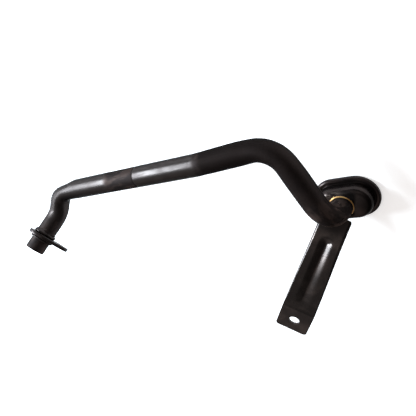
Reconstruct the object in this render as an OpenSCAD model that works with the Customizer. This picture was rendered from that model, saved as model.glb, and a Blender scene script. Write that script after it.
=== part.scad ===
// Oil pickup tube: a bent steel tube with a flanged spigot at the pump end, a stamped
// pickup cup with a crimped-on strainer at the sump end, and a ribbed support bracket.
// Origin: centre of the bracket's bolt hole on its seating face. +Z up, the cup's mouth
// faces down, and the tube's main run lies along X. Millimetres.

/* [Tube] */
// Outside diameter of the tube
tube_od = 19; // [15:0.5:24]
// Wall of the tube
tube_wall = 1.5; // [1:0.1:2.5]
// Main run, between the corners of its bends
main_run = 167; // [130:1:220]
// Second run, after the slight kink
kink_run = 70; // [55:1:90]
// Angle of the slight kink between those two runs
kink_angle = 3; // [1:0.5:12]
// Radius of the kink's centre line
kink_radius = 60; // [30:1:120]
// Run across to the pickup
cross_run = 81; // [65:1:100]
// Direction of that run, turned from the second run
cross_turn = 78; // [60:0.5:95]
// Radius of the bend into the run across
cross_radius = 23; // [18:1:30]
// Radius of the elbow down into the cup
elbow_radius = 27; // [20:1:29]

/* [Spigot] */
// Length of the neck between its two bends
neck_run = 27; // [24:0.5:36]
// Direction of the neck in plan, from the main run's axis
neck_azimuth = -128; // [-140:1:-100]
// Rise of the neck from level
neck_rise = 19; // [10:1:30]
// Radius of the bend into the neck
neck_radius = 24; // [15:1:26]
// Spigot, from its bend's corner to its end
spigot_run = 43; // [36:1:60]
// Rise of the spigot from level
spigot_rise = 55; // [45:0.5:70]
// Direction of the spigot in plan, from the main run's axis
spigot_azimuth = -136; // [-145:1:-110]
// Radius of the bend into the spigot
spigot_radius = 26; // [15:1:28]
// Plain length of the spigot below its lower bead
spigot_plain = 11.5; // [8:0.5:16]
// Height of the lower bead
lower_bead_h = 2.4; // [1.5:0.1:4]
// How far the lower bead stands out
lower_bead_out = 2; // [1:0.1:3]
// Height of the upper bead
upper_bead_h = 3.6; // [2:0.1:6]
// How far the upper bead stands out
upper_bead_out = 1.7; // [1:0.1:3]

/* [Mounting flange] */
// Thickness of the flange plate
flange_t = 3.6; // [2:0.1:5]
// Width of the plate's edge around the tube
flange_land = 5.7; // [3.5:0.1:8]
// Bolt hole, from the spigot's axis
flange_hole_reach = 19.5; // [17:0.5:26]
// Diameter of the flange bolt hole
flange_hole_d = 6.6; // [5:0.1:9]
// Radius of the plate's end around the bolt hole
flange_end_r = 8.2; // [6.5:0.1:11]
// Direction of the bolt hole around the spigot's axis
flange_turn = -20; // [-90:1:90]

/* [Pickup cup] */
// Drop from the tube's centre line to the top of the cup
stub_drop = 30; // [29.5:0.5:40]
// Length of the cup over its crimped rim
cup_l = 54.5; // [50:0.5:70]
// Width of the cup over its crimped rim
cup_w = 38; // [35:0.5:46]
// Offset of the cup's centre from the tube's axis, along X
cup_offset = 1.8; // [-3:0.1:3]
// Height of the cup's pressing
cup_h = 12.5; // [10:0.5:20]
// Sheet of the cup's pressing
cup_t = 1.2; // [0.8:0.1:2]
// Width of the flat rim around the pressing
cup_rim = 4.6; // [3.5:0.1:5.5]
// Radius over the cup's shoulder
shoulder_r = 4.5; // [2.5:0.1:6]
// Radius at the foot of the cup's wall
root_r = 1.2; // [0.5:0.1:2]
// Depth of the collar drawn down around the tube
collar_h = 4; // [2:0.1:8]
// Tube's length inside the cup
tube_reach_in = 5; // [4:0.5:8]
// Radius of the braze fillet around the tube
braze_r = 1; // [1:0.1:2.2]

/* [Strainer] */
// Sheet of the strainer's crimped frame
frame_t = 0.9; // [0.6:0.1:1.5]
// Width of the frame's lip folded over the cup's rim
lip_w = 3.2; // [2:0.1:3.2]
// Width of the frame's edge under the screen
frame_edge = 7; // [5:0.1:8]
// Thickness of the screen over its wires
screen_t = 1; // [0.8:0.1:1.6]
// Pitch of the screen's wires
mesh_pitch = 2.7; // [2.5:0.1:5]
// Width of a screen wire
mesh_wire = 0.8; // [0.4:0.1:1.2]

/* [Bracket] */
// Width of the bracket's strip
strip_w = 25; // [22:0.5:32]
// Sheet of the bracket
strip_t = 2; // [1.5:0.1:3]
// Direction of the bracket in plan, from the main run's axis
bracket_azimuth = -124.3; // [-140:0.1:-105]
// Bolt hole, from the axis of the tube's drop
bracket_reach = 87; // [80:0.5:110]
// Height of the bracket's seating face over the tube's centre line
seat_rise = 26.5; // [20:0.5:34]
// Diameter of the bracket's bolt hole
bracket_hole_d = 9; // [6.5:0.1:11]
// Fold line, from the bolt hole
fold_back = 13.5; // [12:0.1:18]
// End of the foot, from the bolt hole
foot_out = 13; // [10:0.1:16]
// How far the flat foot stands out from the strip on each side
foot_widen = 1.2; // [0.4:0.1:4]
// Length over which the strip widens to the foot
foot_flare = 9; // [6:0.5:12]
// Corner radius of the foot
foot_corner = 3; // [1:0.1:6]
// Corner radius of the saddle's horns
horn_corner = 2.2; // [1:0.1:2.6]
// Radius inside the fold
fold_r = 3; // [1.5:0.1:6]
// Saddle's edge, from the tube's axis
saddle_back = 5; // [2:0.1:8]
// Height of that edge over the top of the cup
saddle_rise = 6.8; // [6:0.1:12]
// Width of the stiffening groove
groove_w = 11; // [8:0.1:14]
// Depth of the stiffening groove at its saddle end
groove_d = 2.6; // [1.5:0.1:4]
// Depth of the groove at its fold end, where it runs out
groove_out_d = 1.2; // [0.8:0.1:1.5]
// Plain strip between the saddle and the groove
groove_start = 25; // [20:0.5:32]
// Plain strip between the groove and the fold
groove_end = 5; // [3:0.5:14]
// Throat of the weld along the saddle
weld_r = 1.5; // [0.8:0.1:1.8]

/* [Fits] */
// Gap for braze or press around the tube
tube_fit = 0.05; // [0.02:0.01:0.15]
// Gap between the crimped sheets
crimp_fit = 0.05; // [0.02:0.01:0.2]
// How much thinner the wall is drawn in a bend, on each face
bend_draw = 0.05; // [0.05:0.01:0.12]

/* [Hidden] */
$fn = 96;
over = 1;
bend_lap = 1;
side_set = 0.02;

tube_r = tube_od / 2;
bore_r = tube_r - tube_wall;

// Unit vectors by plan direction and rise
function plan_dir(azimuth) = [cos(azimuth), sin(azimuth), 0];
function rise_dir(azimuth, rise) = cos(rise) * plan_dir(azimuth) + [0, 0, sin(rise)];
function unit(v) = v / norm(v);

// Axis of the tube's drop, seen from the bracket's bolt hole
bracket_dir = plan_dir(bracket_azimuth);
drop_top = -bracket_reach * bracket_dir - [0, 0, seat_rise];
cup_top = drop_top - [0, 0, stub_drop];

// Corners of the tube's centre line, from the spigot's end to the end inside the cup
cross_corner = drop_top - cross_run * plan_dir(kink_angle - cross_turn);
kink_corner = cross_corner - kink_run * plan_dir(kink_angle);
neck_corner = kink_corner - [main_run, 0, 0];
spigot_corner = neck_corner + neck_run * rise_dir(neck_azimuth, neck_rise);
spigot_dir = rise_dir(spigot_azimuth, spigot_rise);
spigot_end = spigot_corner + spigot_run * spigot_dir;
tube_end = cup_top - [0, 0, tube_reach_in];
route = [spigot_end, spigot_corner, neck_corner, kink_corner, cross_corner, drop_top, tube_end];
bend_radii = [0, spigot_radius, neck_radius, kink_radius, cross_radius, elbow_radius, 0];

// Directions of the route's straights, and each bend's angle and tangent length
function leg(i) = unit(route[i + 1] - route[i]);
function bend_angle(i) = acos(leg(i - 1) * leg(i));
function tangent(i) = bend_radii[i] == 0 ? 0 : bend_radii[i] * tan(bend_angle(i) / 2);

// Frame matrix from an origin and three axes
function frame(o, x, y, z) = [
    [x[0], y[0], z[0], o[0]],
    [x[1], y[1], z[1], o[1]],
    [x[2], y[2], z[2], o[2]],
    [0, 0, 0, 1]
];

// Frame with Z along a direction, and X level
function level_frame(o, z) =
    let (x = abs(z[2]) > 0.999 ? [1, 0, 0] : unit(cross([0, 0, 1], z)))
    frame(o, x, cross(z, x), z);

// Ring or disc that the route sweeps
module section(r, hole_r) {
    difference() {
        circle(r);
        if (hole_r > 0) circle(hole_r);
    }
}

// Straight stretch i of the route, lapping over the bends at its ends
module straight(i, r, hole_r) {
    start = route[i] + leg(i) * max(0, tangent(i) - bend_lap);
    stop = route[i + 1] - leg(i) * max(0, tangent(i + 1) - bend_lap);
    multmatrix(level_frame(start, leg(i))) linear_extrude(norm(stop - start)) section(r, hole_r);
}

// Bent stretch of the route at corner i, its wall drawn thinner
module bend(i, r, hole_r) {
    travel = leg(i - 1);
    inward = unit(leg(i) - (leg(i) * travel) * travel);
    centre = route[i] - travel * tangent(i) + inward * bend_radii[i];
    multmatrix(frame(centre, -inward, travel, cross(-inward, travel)))
        rotate_extrude(angle = bend_angle(i)) translate([bend_radii[i], 0])
            section(r - bend_draw, hole_r > 0 ? hole_r + bend_draw : 0);
}

// Tube or bar along the whole route
module along_route(r, hole_r = 0) {
    last = len(route) - 1;
    for (i = [0 : last - 1]) straight(i, r, hole_r);
    for (i = [1 : last - 1]) bend(i, r, hole_r);
}

// Bar along the tube's elbow and drop, where the bracket meets it
module drop_bar(r) {
    elbow = len(route) - 2;
    straight(elbow - 1, r, 0);
    bend(elbow, r, 0);
    straight(elbow, r, 0);
}

// Children with Z along the spigot, outwards, and z = 0 at its end
module on_spigot() {
    multmatrix(level_frame(spigot_end, spigot_dir)) children();
}

// Heights along the spigot, from its end inwards
lower_bead_z = -spigot_plain - lower_bead_h;
flange_z = lower_bead_z - flange_t;
upper_bead_z = flange_z - upper_bead_h;

// Bead rolled up from the tube's wall: a round edge over a flat that holds the flange
module bead(h, out) {
    edge = min(h, out) / 2;
    inside = tube_r - tube_wall / 2;
    rotate_extrude() translate([inside, 0]) {
        square([tube_r + out - edge - inside, h]);
        translate([0, edge]) square([tube_r + out - inside, h - 2 * edge]);
        for (z = [edge, h - edge]) translate([tube_r + out - edge - inside, z]) circle(edge);
    }
}

// Flare where the upper bead runs out into the tube
module bead_flare(r) {
    inside = tube_r - tube_wall / 2;
    rotate_extrude() difference() {
        translate([inside, -r]) square([tube_r + r - inside, r]);
        translate([tube_r + r, -r]) circle(r);
    }
}

module suction_tube() {
    color("#3d3936") {
        along_route(tube_r, bore_r);
        on_spigot() {
            translate([0, 0, lower_bead_z]) bead(lower_bead_h, lower_bead_out);
            translate([0, 0, upper_bead_z]) bead(upper_bead_h, upper_bead_out);
            translate([0, 0, upper_bead_z]) bead_flare(upper_bead_out * 0.6);
        }
    }
}

// Blank of the plate: a round end about the spigot, a smaller one about the bolt hole, and
// straight sides that meet both just inside their tangent line
module flange_blank() {
    land_r = tube_r + flange_land;
    lean = acos((land_r - flange_end_r) / flange_hole_reach);
    side = [cos(lean), sin(lean)];
    other = [cos(lean), -sin(lean)];
    far = [flange_hole_reach, 0];
    near_r = land_r - side_set;
    far_r = flange_end_r - side_set;
    cylinder(h = flange_t, r = land_r);
    translate(far) cylinder(h = flange_t, r = flange_end_r);
    linear_extrude(flange_t)
        polygon([near_r * side, far + far_r * side, far + far_r * other, near_r * other]);
}

module mounting_flange() {
    color("#45403c") on_spigot() translate([0, 0, flange_z]) rotate(flange_turn) difference() {
        union() flange_blank();
        translate([0, 0, -over]) cylinder(h = flange_t + 2 * over, r = tube_r + tube_fit);
        translate([flange_hole_reach, 0, -over]) cylinder(h = flange_t + 2 * over, d = flange_hole_d);
    }
}

// Pickup cup and strainer: half sections swept round a slot-shaped outline
cup_straight = cup_l - cup_w;
rim_r = cup_w / 2;
flange_r = rim_r - frame_t - crimp_fit;
wall_r = rim_r - cup_rim;
rim_z = -cup_h;

module on_cup() {
    translate(cup_top + [cup_offset, 0, 0]) children();
}

// Sweep of a half section, drawn with x outwards and y up, round the slot outline
module slot_sweep() {
    for (side = [0, 180]) rotate(side) {
        translate([cup_straight / 2, 0, 0]) rotate(-90) rotate_extrude(angle = 180) children();
        translate([-cup_straight / 2, 0, 0]) rotate([90, 0, 90]) linear_extrude(cup_straight) children();
    }
}

// Half section of the cup's pressing, grown inwards by t
module cup_section(t) {
    r = shoulder_r - t;
    translate([0, rim_z - (t > 0 ? over : 0)]) {
        height = cup_h - t + (t > 0 ? over : 0);
        square([wall_r - t - r, height]);
        square([wall_r - t, height - r]);
        translate([wall_r - t - r, height - r]) circle(r);
    }
}

module pickup_cup() {
    color("#3a3633") difference() {
        union() {
            on_cup() slot_sweep() difference() {
                union() {
                    cup_section(0);
                    translate([0, rim_z]) square([flange_r, cup_t]);
                    translate([wall_r - over, rim_z + cup_t]) difference() {
                        square([over + root_r, root_r]);
                        translate([over + root_r, root_r]) circle(root_r);
                    }
                }
                cup_section(cup_t);
            }
            translate(cup_top - [0, 0, collar_h])
                cylinder(h = collar_h - cup_t / 2, r = tube_r + tube_fit + cup_t);
        }
        translate(cup_top - [0, 0, cup_h]) cylinder(h = cup_h + over, r = tube_r + tube_fit);
    }
}

module cup_braze_ring() {
    color("#c9a25a") translate(cup_top) rotate_extrude() intersection() {
        translate([tube_r + braze_r * 0.35, braze_r * 0.1]) circle(braze_r);
        translate([tube_r, 0]) square(2 * braze_r);
    }
}

// Stack under the cup's rim: the screen, then the frame's edge
screen_z = rim_z - screen_t;
frame_z = screen_z - frame_t;

// Quarter round that the frame's sheet makes where it folds
module frame_fold() {
    intersection() {
        circle(frame_t);
        translate([-side_set, -side_set]) square(frame_t + over);
    }
}

module strainer_frame() {
    lip_z = rim_z + cup_t + crimp_fit;
    edge_z = frame_z + frame_t;
    inside = rim_r - frame_t;
    color("#393532") on_cup() slot_sweep() {
        translate([rim_r - frame_edge, frame_z]) square([frame_edge - frame_t, frame_t]);
        translate([inside, edge_z]) rotate(-90) frame_fold();
        translate([inside, edge_z]) square([frame_t, lip_z - edge_z]);
        translate([inside, lip_z]) frame_fold();
        translate([rim_r - lip_w, lip_z]) square([lip_w - frame_t, frame_t]);
    }
}

// Woven screen as one sheet with a grid of openings inside the frame's window
module strainer_screen() {
    window_r = rim_r - frame_edge;
    gap = mesh_pitch - mesh_wire;
    across = floor((window_r - gap / 2) / mesh_pitch);
    along = floor((window_r + cup_straight / 2 - gap / 2) / mesh_pitch);
    function clear_of_edge(x, y) =
        norm([max(0, abs(x) + gap / 2 - cup_straight / 2), abs(y) + gap / 2]) < window_r;
    color("#5a5650") on_cup() difference() {
        slot_sweep() translate([0, screen_z]) square([flange_r, screen_t]);
        for (i = [-along : along], j = [-across : across]) {
            x = i * mesh_pitch;
            y = j * mesh_pitch;
            if (clear_of_edge(x, y))
                translate([x - gap / 2, y - gap / 2, screen_z - over]) cube([gap, gap, screen_t + 2 * over]);
        }
    }
}

// Bracket: fold line and saddle edge in its own plane, with x outwards from the tube's drop
fold_x = bracket_reach - fold_back;
foot_x = bracket_reach + foot_out;
foot_w = strip_w + 2 * foot_widen;
saddle_z = -stub_drop + saddle_rise;
slope = atan((seat_rise - saddle_z) / (fold_x - saddle_back));
slope_l = (fold_x - saddle_back) / cos(slope);
fold_set = (fold_r + strip_t) * tan(slope / 2);
groove_r = (pow(groove_w / 2, 2) + pow(groove_d, 2)) / (2 * groove_d);
fold_steps = 12;

// Children with x outwards from the tube's drop and z = 0 at its centre line
module on_bracket() {
    translate(drop_top) rotate(bracket_azimuth) children();
}

// Children with z = 0 on the slope's upper face and x from the fold down to the saddle, as the
// bracket's own frame has them
module to_slope() {
    translate([fold_x, 0, seat_rise]) rotate([0, 180 - slope, 0]) rotate([180, 0, 0]) children();
}

module on_slope() {
    on_bracket() to_slope() children();
}

// Side view of the sheet, `below` under its upper face: foot, fold and slope
function side_line(below) =
    let (centre = [fold_x + fold_set, seat_rise - strip_t - fold_r], r = fold_r + strip_t - below)
    concat([[foot_x, seat_rise - below]],
           [for (k = [0 : fold_steps])
               let (turn = slope * k / fold_steps) centre + r * [-sin(turn), cos(turn)]],
           [[saddle_back, saddle_z] + below * [sin(slope), -cos(slope)]]);

function reversed(points) = [for (k = [len(points) - 1 : -1 : 0]) points[k]];

// Cutters that round the two corners of an end w wide at x = 0, with z = 0 on its upper face
module corner_cuts(r, w) {
    for (s = [-1, 1]) translate([-r, s * (w / 2 - r), -strip_t - over]) difference() {
        translate([0, s > 0 ? 0 : -r - over, 0]) cube([r + over, r + over, strip_t + 2 * over]);
        translate([0, 0, -over]) cylinder(h = strip_t + 4 * over, r = r);
    }
}

// Plan of one side of the strip, which widens to the foot just before the fold
function side_plan(s) = [
    [saddle_back - strip_t - over, s * strip_w / 2],
    [fold_x - foot_flare, s * strip_w / 2],
    [fold_x, s * foot_w / 2],
    [foot_x + over, s * foot_w / 2]
];

// Folded strip with the foot's and the horns' corners rounded
module folded_strip() {
    height = seat_rise - saddle_z + strip_t + 2 * over;
    difference() {
        intersection() {
            translate([0, foot_w / 2 + over, 0]) rotate([90, 0, 0]) linear_extrude(foot_w + 2 * over)
                polygon(concat(side_line(0), reversed(side_line(strip_t))));
            translate([0, 0, saddle_z - strip_t - over]) linear_extrude(height)
                polygon(concat(side_plan(-1), reversed(side_plan(1))));
        }
        translate([foot_x, 0, seat_rise]) corner_cuts(foot_corner, foot_w);
        to_slope() translate([slope_l, 0, 0]) corner_cuts(horn_corner, strip_w);
    }
}

// Round-ended trough of radius r along the slope, deepest at its saddle end
module groove_bar(r) {
    start = [groove_end + groove_w / 2, 0, groove_r - groove_out_d];
    stop = [slope_l - groove_start, 0, groove_r - groove_d];
    tilt = atan((start[2] - stop[2]) / (stop[0] - start[0]));
    translate(start) rotate([0, 90 + tilt, 0]) cylinder(h = norm(stop - start), r = r);
    for (place = [start, stop]) translate(place) sphere(r);
}

// Ridge that the groove raises under the sheet
module groove_ridge() {
    intersection() {
        groove_bar(groove_r + strip_t);
        translate([0, -strip_w / 2, -groove_d - strip_t - over])
            cube([slope_l, strip_w, groove_d + strip_t / 2 + over]);
    }
}

module support_bracket() {
    color("#4a4541") difference() {
        union() {
            on_bracket() folded_strip();
            on_slope() groove_ridge();
        }
        on_slope() groove_bar(groove_r);
        translate([0, 0, -strip_t - over]) cylinder(h = strip_t + 2 * over, d = bracket_hole_d);
        drop_bar(tube_r + tube_fit);
    }
}

// Weld beads along the saddle, over and under the sheet, which stop short of the horns' corners
module bracket_weld() {
    weld_l = tube_r + weld_r + saddle_back;
    color("#45413d") difference() {
        intersection() {
            drop_bar(tube_r + tube_fit + weld_r);
            on_slope() translate([slope_l - weld_l, -strip_w / 2, -strip_t - weld_r])
                cube([weld_l - horn_corner, strip_w, strip_t + 2 * weld_r]);
        }
        drop_bar(tube_r + tube_fit);
        on_bracket() folded_strip();
    }
}

suction_tube();
mounting_flange();
pickup_cup();
cup_braze_ring();
strainer_frame();
strainer_screen();
support_bracket();
bracket_weld();
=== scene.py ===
import math

import bmesh
import bpy
import numpy as np
from mathutils import Matrix, Vector
from mathutils.bvhtree import BVHTree


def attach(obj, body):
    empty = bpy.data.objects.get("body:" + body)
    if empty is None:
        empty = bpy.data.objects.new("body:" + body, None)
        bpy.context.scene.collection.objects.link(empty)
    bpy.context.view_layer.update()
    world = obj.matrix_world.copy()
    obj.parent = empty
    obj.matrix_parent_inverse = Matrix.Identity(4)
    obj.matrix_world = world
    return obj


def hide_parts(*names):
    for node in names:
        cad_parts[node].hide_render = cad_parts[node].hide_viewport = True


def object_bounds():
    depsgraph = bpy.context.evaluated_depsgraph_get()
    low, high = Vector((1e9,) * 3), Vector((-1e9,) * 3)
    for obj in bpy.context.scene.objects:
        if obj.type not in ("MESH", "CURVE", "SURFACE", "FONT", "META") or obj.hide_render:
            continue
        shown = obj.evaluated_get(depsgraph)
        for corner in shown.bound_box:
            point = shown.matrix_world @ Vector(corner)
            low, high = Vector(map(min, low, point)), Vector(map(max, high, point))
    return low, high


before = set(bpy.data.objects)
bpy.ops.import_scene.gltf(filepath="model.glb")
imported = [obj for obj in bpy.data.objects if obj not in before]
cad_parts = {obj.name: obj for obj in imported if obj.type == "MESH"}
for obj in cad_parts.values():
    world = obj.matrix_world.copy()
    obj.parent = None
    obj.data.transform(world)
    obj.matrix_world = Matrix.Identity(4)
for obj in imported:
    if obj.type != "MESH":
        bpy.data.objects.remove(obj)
cadLow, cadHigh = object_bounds()
mm = 0.001  # sizes below are in millimetres
print("frame loaded:", ", ".join(sorted(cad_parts)))

scene = bpy.context.scene
scene.view_settings.view_transform = "Standard"


# vectors and curves

def unit(v):
    v = np.asarray(v, float)
    return v / np.linalg.norm(v)


def planDir(azimuth):
    a = math.radians(azimuth)
    return np.array([math.cos(a), math.sin(a), 0.0])


def riseDir(azimuth, rise):
    r = math.radians(rise)
    return math.cos(r) * planDir(azimuth) + np.array([0.0, 0.0, math.sin(r)])


def smoothStep(x, low, high):
    t = np.clip((np.asarray(x, float) - low) / (high - low), 0.0, 1.0)
    return t * t * (3.0 - 2.0 * t)


# a smooth step over a span, given as two offsets from an anchor
def fade(x, anchor, span):
    return smoothStep(x, anchor + span[0], anchor + span[1])


# a smooth rise at one place and a fall at another
def between(x, start, rise, stop, fall):
    return fade(x, start, rise) * (1.0 - fade(x, stop, fall))


def hump(x, centre, width):
    return np.exp(-((x - centre) / width) ** 2)


def turnSteps(angle, steps):
    return [angle * k / steps for k in range(steps + 1)]


def poseOf(x, y, z, place):
    pose = Matrix([list(row) for row in np.column_stack([x, y, z])]).to_4x4()
    pose.translation = place
    return pose


# meshes

def addObject(name, data):
    piece = bpy.data.objects.new(name, data)
    scene.collection.objects.link(piece)
    return piece


def meshObject(name, points, faces, edges=()):
    mesh = bpy.data.meshes.new(name)
    mesh.from_pydata([tuple(float(c) * mm for c in p) for p in points], list(edges), faces)
    return addObject(name, mesh)


def ringsObject(name, rings, faces):
    return meshObject(name, [p for ring in rings for p in ring], faces)


# quads between rings of equal count, each ring closed in itself
def ringFaces(rings, closed=False):
    count = len(rings[0])
    faces = []
    for i in range(len(rings) if closed else len(rings) - 1):
        a, b = i * count, ((i + 1) % len(rings)) * count
        for k in range(count):
            j = (k + 1) % count
            faces.append((a + k, a + j, b + j, b + k))
    return faces


def pointAttribute(mesh, name, values, kind="FLOAT"):
    layer = mesh.attributes.new(name, kind, "POINT")
    flat = np.asarray(values, np.float32).ravel()
    layer.data.foreach_set("vector" if kind == "FLOAT_VECTOR" else "value", flat)


# modifiers are made real, so that the piece is one plain mesh
def makePlain(piece):
    graph = bpy.context.evaluated_depsgraph_get()
    mesh = bpy.data.meshes.new_from_object(piece.evaluated_get(graph))
    piece.modifiers.clear()
    piece.data = mesh


def reshape(piece, work):
    shape = bmesh.new()
    shape.from_mesh(piece.data)
    work(shape)
    shape.to_mesh(piece.data)
    shape.free()


def facesOutward(piece):
    reshape(piece, lambda shape: bmesh.ops.recalc_face_normals(shape, faces=shape.faces))


# an open sheet is turned so that most of it faces up
def sheetUp(piece):
    if sum(f.normal.z * f.area for f in piece.data.polygons) < 0:
        piece.data.flip_normals()


def softEdges(piece, width, segments, angle):
    edge = piece.modifiers.new("edge", "BEVEL")
    edge.width = width * mm
    edge.segments = segments
    edge.limit_method = "ANGLE"
    edge.angle_limit = math.radians(angle)
    edge.harden_normals = True
    edge.use_clamp_overlap = True


def sheetThickness(piece, thickness):
    wall = piece.modifiers.new("wall", "SOLIDIFY")
    wall.thickness = thickness * mm
    wall.offset = -1.0
    wall.use_even_offset = True
    wall.use_quality_normals = True


# edges sharper than the angle stay sharp
def shadeSmooth(piece, angle):
    mesh = piece.data
    mesh.polygons.foreach_set("use_smooth", [True] * len(mesh.polygons))
    mesh.set_sharp_from_angle(angle=math.radians(angle))
    mesh.update()


def dress(piece, material, node, smooth):
    shadeSmooth(piece, smooth)
    piece.data.materials.clear()
    piece.data.materials.append(material)
    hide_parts(node)
    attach(piece, "root")
    print("made", piece.name, len(piece.data.polygons), "faces")


# node trees

class Tree:
    def __init__(self, tree):
        self.tree = tree

    def add(self, kind, inputs=None, **settings):
        node = self.tree.nodes.new(kind)
        for key, value in settings.items():
            setattr(node, key, value)
        for key, value in (inputs or {}).items():
            self.feed(node.inputs[key], value)
        return node

    def feed(self, socket, value):
        if isinstance(value, bpy.types.NodeSocket):
            self.tree.links.new(value, socket)
        elif isinstance(value, bpy.types.Node):
            self.tree.links.new(value.outputs[0], socket)
        else:
            socket.default_value = value

    def math(self, operation, a, b=0.0, c=0.0):
        return self.add("ShaderNodeMath", {0: a, 1: b, 2: c}, operation=operation).outputs[0]

    def vector(self, operation, a, b=(0.0, 0.0, 0.0)):
        node = self.add("ShaderNodeVectorMath", {0: a}, operation=operation)
        self.feed(node.inputs["Scale"] if operation == "SCALE" else node.inputs[1], b)
        return node.outputs["Value"] if operation in ("DOT_PRODUCT", "LENGTH") else node.outputs[0]

    def blendColor(self, factor, a, b, mode="MIX"):
        node = self.add("ShaderNodeMix", data_type="RGBA", blend_type=mode)
        self.feed(node.inputs[0], factor)
        self.feed(node.inputs[6], a)
        self.feed(node.inputs[7], b)
        return node.outputs[2]

    def spread(self, value, low, high, toLow=0.0, toHigh=1.0):
        node = self.add("ShaderNodeMapRange", {0: value, 1: low, 2: high, 3: toLow, 4: toHigh})
        node.interpolation_type = "SMOOTHSTEP"
        return node.outputs[0]

    def noise(self, place, scale, detail, **more):
        inputs = {"Vector": place, "Scale": scale, "Detail": detail, **more}
        return self.add("ShaderNodeTexNoise", inputs).outputs[0]

    def objectPlace(self):
        return self.add("ShaderNodeTexCoord").outputs["Object"]

    def join(self, parts):
        both = self.add("GeometryNodeJoinGeometry")
        for part in parts:
            self.tree.links.new(part.outputs[0], both.inputs[0])
        return both

    # a geometry tree's end: no instances left, one material on all
    def finish(self, label, geometry, material):
        real = self.add("GeometryNodeRealizeInstances", {"Geometry": geometry})
        done = self.add("GeometryNodeSetMaterial", {"Geometry": real, "Material": material})
        self.add("NodeGroupOutput", {label: done})


def socketKind(value):
    if isinstance(value, tuple):
        return "Vector" if len(value) == 3 else "Color"
    return "Int" if isinstance(value, int) else "Float"


# an input is given by its default value, or by the name of a kind that has none
def newGroup(name, treeKind, inputs, outputs):
    group = bpy.data.node_groups.new(name, treeKind)
    for label, value in inputs.items():
        plain = isinstance(value, str)
        kind = value if plain else socketKind(value)
        socket = group.interface.new_socket(label, in_out="INPUT", socket_type="NodeSocket" + kind)
        if not plain:
            socket.default_value = value
    for label, kind in outputs.items():
        group.interface.new_socket(label, in_out="OUTPUT", socket_type="NodeSocket" + kind)
    if treeKind == "GeometryNodeTree":
        group.is_modifier = True
    tree = Tree(group)
    return group, tree, tree.add("NodeGroupInput").outputs


def addNodes(piece, group, values):
    modifier = piece.modifiers.new(group.name, "NODES")
    modifier.node_group = group
    for item in group.interface.items_tree:
        if item.item_type == "SOCKET" and item.in_out == "INPUT" and item.name in values:
            modifier[item.identifier] = values[item.name]


def rgb(r, g, b):
    return (r, g, b, 1.0)


# shader groups: the blackened skin of the steel, the tube's draw lines, and patches of painted sheen or
# painted shade
skinLook = {"warmPatch": (0.38, 0.68), "grainLevel": (0.65, 0.7), "fineness": 2.7, "fineShare": 0.35,
            "fleckPeak": (0.66, 0.8), "fleckColor": rgb(0.16, 0.14, 0.125)}


def makeSteelSkin():
    group, tree, given = newGroup("steelSkin", "ShaderNodeTree", {
        "Dark": rgb(0.01, 0.008, 0.007), "Brown": rgb(0.03, 0.022, 0.018), "Patch Size": 30.0,
        "Grain Size": 1.2, "Fleck": 0.3, "Rough": 0.4, "Rough Spread": 0.1,
    }, {"Color": "Color", "Roughness": "Float", "Height": "Float"})
    place = tree.objectPlace()
    patchScale = tree.math("DIVIDE", 1.0 / mm, given["Patch Size"])
    grainScale = tree.math("DIVIDE", 1.0 / mm, given["Grain Size"])
    fineScale = tree.math("MULTIPLY", grainScale, skinLook["fineness"])
    patch = tree.noise(place, patchScale, detail=4.0, Roughness=0.6, Distortion=0.4)
    grain = tree.noise(place, grainScale, detail=3.0, Roughness=0.65)
    fine = tree.noise(place, fineScale, detail=2.0)
    color = tree.blendColor(tree.spread(patch, *skinLook["warmPatch"]), given["Dark"], given["Brown"])
    low, gain = skinLook["grainLevel"]
    color = tree.blendColor(1.0, color, tree.math("MULTIPLY_ADD", grain, gain, low), "MULTIPLY")
    fleck = tree.math("MULTIPLY", tree.spread(fine, *skinLook["fleckPeak"]), given["Fleck"])
    color = tree.blendColor(fleck, color, skinLook["fleckColor"])
    rough = given["Rough"]
    for pattern in (patch, grain):
        rough = tree.math("MULTIPLY_ADD", tree.math("SUBTRACT", pattern, 0.5), given["Rough Spread"], rough)
    share = skinLook["fineShare"]
    height = tree.math("MULTIPLY_ADD", fine, share, tree.math("MULTIPLY", grain, 1.0 - share))
    tree.add("NodeGroupOutput", {"Color": color, "Roughness": rough, "Height": height})
    return group


def makeDrawLines():
    group, tree, given = newGroup("drawLines", "ShaderNodeTree", {
        "Ring": (0.0, 0.0, 0.0), "Along": 0.0, "Line Fineness": 26.0, "Line Length": 60.0,
        "Smear Fineness": 1.6, "Smear Length": 14.0,
    }, {"Line": "Float", "Smear": "Float"})

    # noise drawn out along the tube
    def drawn(label, detail):
        ring = tree.vector("SCALE", given["Ring"], given[label + " Fineness"])
        apart = tree.add("ShaderNodeSeparateXYZ", {0: ring}).outputs
        far = tree.math("DIVIDE", given["Along"], given[label + " Length"])
        place = tree.add("ShaderNodeCombineXYZ", {0: apart[0], 1: apart[1], 2: far})
        return tree.noise(place, 1.0, detail)

    tree.add("NodeGroupOutput", {"Line": drawn("Line", 3.0), "Smear": drawn("Smear", 4.0)})
    return group


# a painted patch of shade or sheen fades out from its centre, and a streaky one is broken up by streaks
patchLook = {"core": 0.3, "streakPeak": (0.38, 0.62)}


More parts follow.
